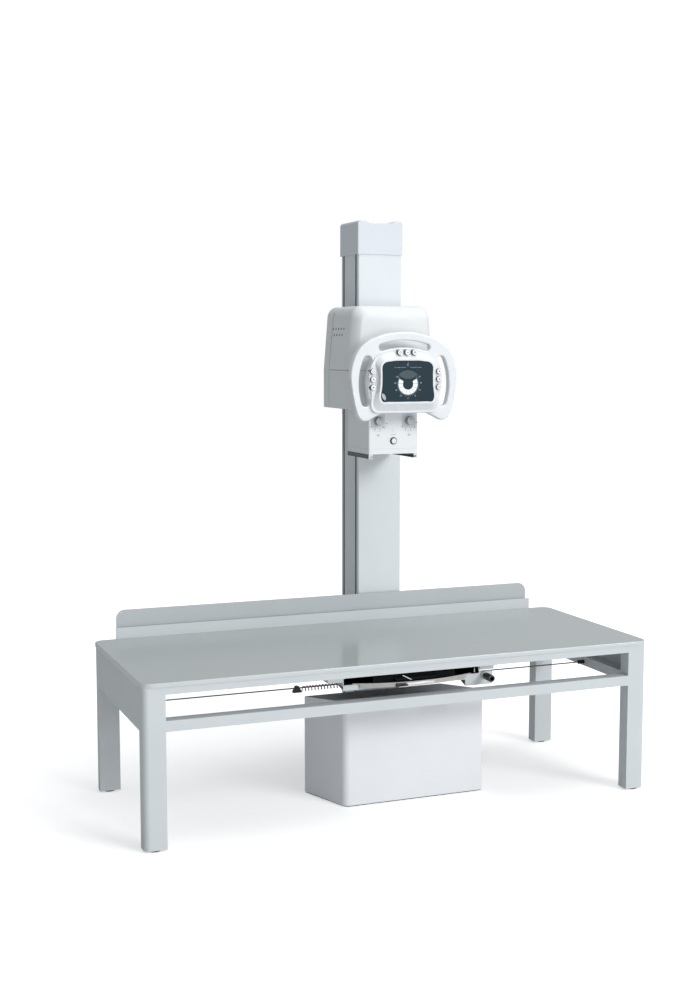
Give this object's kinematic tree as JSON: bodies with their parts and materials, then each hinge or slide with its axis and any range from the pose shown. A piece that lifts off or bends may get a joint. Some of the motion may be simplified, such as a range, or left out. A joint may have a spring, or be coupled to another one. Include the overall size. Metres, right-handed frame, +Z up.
{
  "type": "radiography table",
  "caption": "Flat patient table on two welded end frames with a sliding cassette drawer below and a rail-guided column behind that carries a counterbalanced swivelling tube head.",
  "frame": {"origin": "on the floor under the centre of the tabletop, on the underside of the cabinet base", "axes": "+X along the table to the patient's feet, +Y to the column behind the table, +Z up"},
  "size_m": [2, 1.061, 2.235],
  "materials": {
    "frame_paint": "satin powder coat",
    "top_laminate": "glossy laminate",
    "guard_sheet": "glossy sheet",
    "foot_rubber": "matte",
    "rail_metal": "anodised",
    "wire_steel": "drawn",
    "cabinet_paint": "satin powder coat",
    "dark_metal": "black satin",
    "grid_metal": "satin",
    "tray_metal": "brushed",
    "black_plastic": "satin",
    "column_paint": "painted extrusion",
    "cap_plastic": "satin moulding",
    "weight_iron": "cast",
    "belt_rubber": "matte",
    "hood_plastic": "satin moulding",
    "tube_metal": "cast",
    "collimator_paint": "satin powder coat",
    "clear_window": "clear",
    "rack_metal": "satin",
    "knob_plastic": "satin",
    "panel_plastic": "satin moulding",
    "display_glass": "gloss",
    "button_plastic": "satin"
  },
  "bodies": {
    "table": {"tabletop": "top_laminate", "end_frame_left": "frame_paint", "end_frame_right": "frame_paint", "side_aprons": "frame_paint", "side_rails": "frame_paint", "levelling_feet": "foot_rubber", "rear_strip": "frame_paint", "guard_panel": "guard_sheet", "column_travel_rail": "rail_metal", "guide_wire": "wire_steel", "bucky_guide_rails": "rail_metal", "cabinet_cover": "cabinet_paint", "cabinet_base": "dark_metal", "generator_tank": "frame_paint"},
    "bucky": {"bucky_housing": "dark_metal", "bucky_grid": "grid_metal", "bucky_hangers": "rail_metal", "curly_cord": "black_plastic", "cord_clip": "black_plastic"},
    "tray": {"cassette_tray": "tray_metal"},
    "clamp": {"tray_clamp": "black_plastic"},
    "bucky_lock": {"bucky_lock_grip": "black_plastic"},
    "column": {"column_trolley": "rail_metal", "column_foot": "frame_paint", "column_extrusion": "column_paint", "column_cap": "cap_plastic", "pulley_axles": "wire_steel", "lift_belt": "belt_rubber"},
    "wheel_left": {"floor_wheel_left": "black_plastic"},
    "wheel_right": {"floor_wheel_right": "black_plastic"},
    "pulley_top": {"top_pulley": "tube_metal"},
    "pulley_bottom": {"bottom_pulley": "tube_metal"},
    "balance": {"counterweight": "weight_iron"},
    "carriage": {"carriage_frame": "tube_metal", "guide_shoes": "black_plastic"},
    "arm_slides": {"arm_middle_slides": "wire_steel"},
    "arm": {"arm_frame": "tube_metal", "arm_cover": "hood_plastic"},
    "head": {"head_back_plate": "tube_metal", "hood_upper": "hood_plastic", "hood_lower": "hood_plastic", "tube_housing": "tube_metal", "collimator_housing": "collimator_paint", "collimator_window": "clear_window", "accessory_rails": "rack_metal", "panel_front": "panel_plastic", "panel_back": "panel_plastic", "display_window": "display_glass"},
    "knob_left": {"knob_left": "knob_plastic"},
    "knob_right": {"knob_right": "knob_plastic"},
    "lamp_button": {"lamp_button": "button_plastic"},
    "button_left_upper": {"button_left_upper": "button_plastic"},
    "button_left_middle": {"button_left_middle": "button_plastic"},
    "button_left_lower": {"button_left_lower": "button_plastic"},
    "button_right_upper": {"button_right_upper": "button_plastic"},
    "button_right_middle": {"button_right_middle": "button_plastic"},
    "button_right_lower": {"button_right_lower": "button_plastic"},
    "button_top_left": {"button_top_left": "button_plastic"},
    "button_top_middle": {"button_top_middle": "button_plastic"},
    "button_top_right": {"button_top_right": "button_plastic"}
  },
  "joints": [
    {"name": "bucky_travel", "type": "slide", "parent": "table", "child": "bucky", "axis": [1, 0, 0], "range_m": [-0.55, 0.5]},
    {"name": "tray_pull", "type": "slide", "parent": "bucky", "child": "tray", "axis": [0, -1, 0], "range_m": [0, 0.45]},
    {"name": "clamp_slide", "type": "slide", "parent": "tray", "child": "clamp", "axis": [0, 1, 0], "range_m": [0, 0.1]},
    {"name": "bucky_lock_turn", "type": "hinge", "parent": "bucky", "child": "bucky_lock", "pos_m": [0.316, -0.336, 0.5], "axis": [0, 1, 0], "range_deg": [0, 90]},
    {"name": "column_travel", "type": "slide", "parent": "table", "child": "column", "axis": [1, 0, 0], "range_m": [-0.95, 0.5]},
    {"name": "wheel_left_spin", "type": "hinge", "parent": "column", "child": "wheel_left", "pos_m": [0.144, 0.547, 0.0304], "axis": [0, 1, 0], "continuous": true},
    {"name": "wheel_right_spin", "type": "hinge", "parent": "column", "child": "wheel_right", "pos_m": [0.308, 0.547, 0.0304], "axis": [0, 1, 0], "continuous": true},
    {"name": "carriage_lift", "type": "slide", "parent": "column", "child": "carriage", "axis": [0, 0, 1], "range_m": [-0.55, 0.2]},
    {"name": "balance_travel", "type": "slide", "parent": "column", "child": "balance", "axis": [0, 0, 1], "range_m": [-0.2, 0.55]},
    {"name": "pulley_top_spin", "type": "hinge", "parent": "column", "child": "pulley_top", "pos_m": [0.226, 0.547, 2.03], "axis": [1, 0, 0], "continuous": true},
    {"name": "pulley_bottom_spin", "type": "hinge", "parent": "column", "child": "pulley_bottom", "pos_m": [0.226, 0.547, 0.184], "axis": [1, 0, 0], "continuous": true},
    {"name": "arm_slides_extend", "type": "slide", "parent": "carriage", "child": "arm_slides", "axis": [0, -1, 0], "range_m": [0, 0.125]},
    {"name": "arm_extend", "type": "slide", "parent": "arm_slides", "child": "arm", "axis": [0, -1, 0], "range_m": [0, 0.125]},
    {"name": "head_swivel", "type": "hinge", "parent": "arm", "child": "head", "pos_m": [0.177, 0.431, 1.66], "axis": [0, 1, 0], "range_deg": [-120, 120]},
    {"name": "knob_left_turn", "type": "hinge", "parent": "head", "child": "knob_left", "pos_m": [0.11, 0.19, 1.428], "axis": [0, 1, 0], "range_deg": [-60, 60]},
    {"name": "knob_right_turn", "type": "hinge", "parent": "head", "child": "knob_right", "pos_m": [0.244, 0.19, 1.428], "axis": [0, 1, 0], "range_deg": [-60, 60]},
    {"name": "lamp_button_press", "type": "slide", "parent": "head", "child": "lamp_button", "axis": [0, 1, 0], "range_m": [0, 0.002], "stiffness_N_per_m": 1500, "springref_m": -0.0004},
    {"name": "button_left_upper_press", "type": "slide", "parent": "head", "child": "button_left_upper", "axis": [0, 1, 0], "range_m": [0, 0.002], "stiffness_N_per_m": 1500, "springref_m": -0.0004},
    {"name": "button_left_middle_press", "type": "slide", "parent": "head", "child": "button_left_middle", "axis": [0, 1, 0], "range_m": [0, 0.002], "stiffness_N_per_m": 1500, "springref_m": -0.0004},
    {"name": "button_left_lower_press", "type": "slide", "parent": "head", "child": "button_left_lower", "axis": [0, 1, 0], "range_m": [0, 0.002], "stiffness_N_per_m": 1500, "springref_m": -0.0004},
    {"name": "button_right_upper_press", "type": "slide", "parent": "head", "child": "button_right_upper", "axis": [0, 1, 0], "range_m": [0, 0.002], "stiffness_N_per_m": 1500, "springref_m": -0.0004},
    {"name": "button_right_middle_press", "type": "slide", "parent": "head", "child": "button_right_middle", "axis": [0, 1, 0], "range_m": [0, 0.002], "stiffness_N_per_m": 1500, "springref_m": -0.0004},
    {"name": "button_right_lower_press", "type": "slide", "parent": "head", "child": "button_right_lower", "axis": [0, 1, 0], "range_m": [0, 0.002], "stiffness_N_per_m": 1500, "springref_m": -0.0004},
    {"name": "button_top_left_press", "type": "slide", "parent": "head", "child": "button_top_left", "axis": [0, 1, 0], "range_m": [0, 0.002], "stiffness_N_per_m": 1500, "springref_m": -0.0004},
    {"name": "button_top_middle_press", "type": "slide", "parent": "head", "child": "button_top_middle", "axis": [0, 1, 0], "range_m": [0, 0.002], "stiffness_N_per_m": 1500, "springref_m": -0.0004},
    {"name": "button_top_right_press", "type": "slide", "parent": "head", "child": "button_top_right", "axis": [0, 1, 0], "range_m": [0, 0.002], "stiffness_N_per_m": 1500, "springref_m": -0.0004}
  ],
  "couplings": [
    {"joint": "wheel_left_spin", "follows": "column_travel", "rad_per_m": 33.333},
    {"joint": "wheel_right_spin", "follows": "column_travel", "rad_per_m": 33.333},
    {"joint": "balance_travel", "follows": "carriage_lift", "ratio": -1},
    {"joint": "pulley_top_spin", "follows": "carriage_lift", "rad_per_m": 16.129},
    {"joint": "pulley_bottom_spin", "follows": "carriage_lift", "rad_per_m": 16.129},
    {"joint": "arm_slides_extend", "follows": "arm_extend", "ratio": 1}
  ]
}
